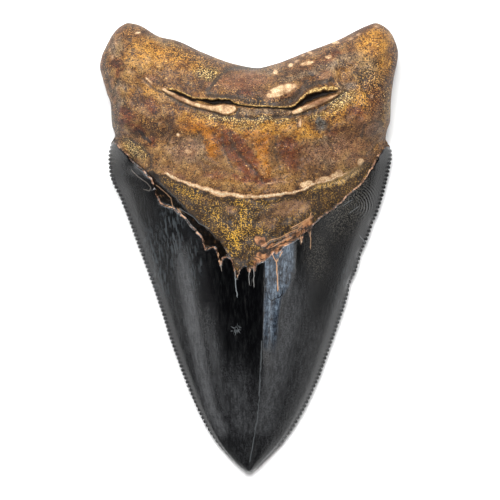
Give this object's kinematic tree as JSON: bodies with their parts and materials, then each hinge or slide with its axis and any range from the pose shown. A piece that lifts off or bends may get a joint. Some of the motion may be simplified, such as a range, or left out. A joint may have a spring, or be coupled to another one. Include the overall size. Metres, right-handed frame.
{
  "type": "fossil tooth",
  "caption": "Fossil shark tooth with a broad triangular serrated crown, a speckled band under the enamel and a two-lobed root with a slit, lying flat.",
  "frame": {"origin": "centre of the tooth's outline seen from above, on the surface it lies on", "axes": "+Y from the crown's tip to the root, +Z out of the lingual face, away from the table, +X to the right of that face"},
  "size_m": [0.0744, 0.1122, 0.0238],
  "materials": {
    "tooth": "glossy black enamel crown over a satin, mottled brown and ochre root with a fine gold and black speckled band"
  },
  "bodies": {
    "root": {"tooth": "tooth"}
  },
  "joints": []
}
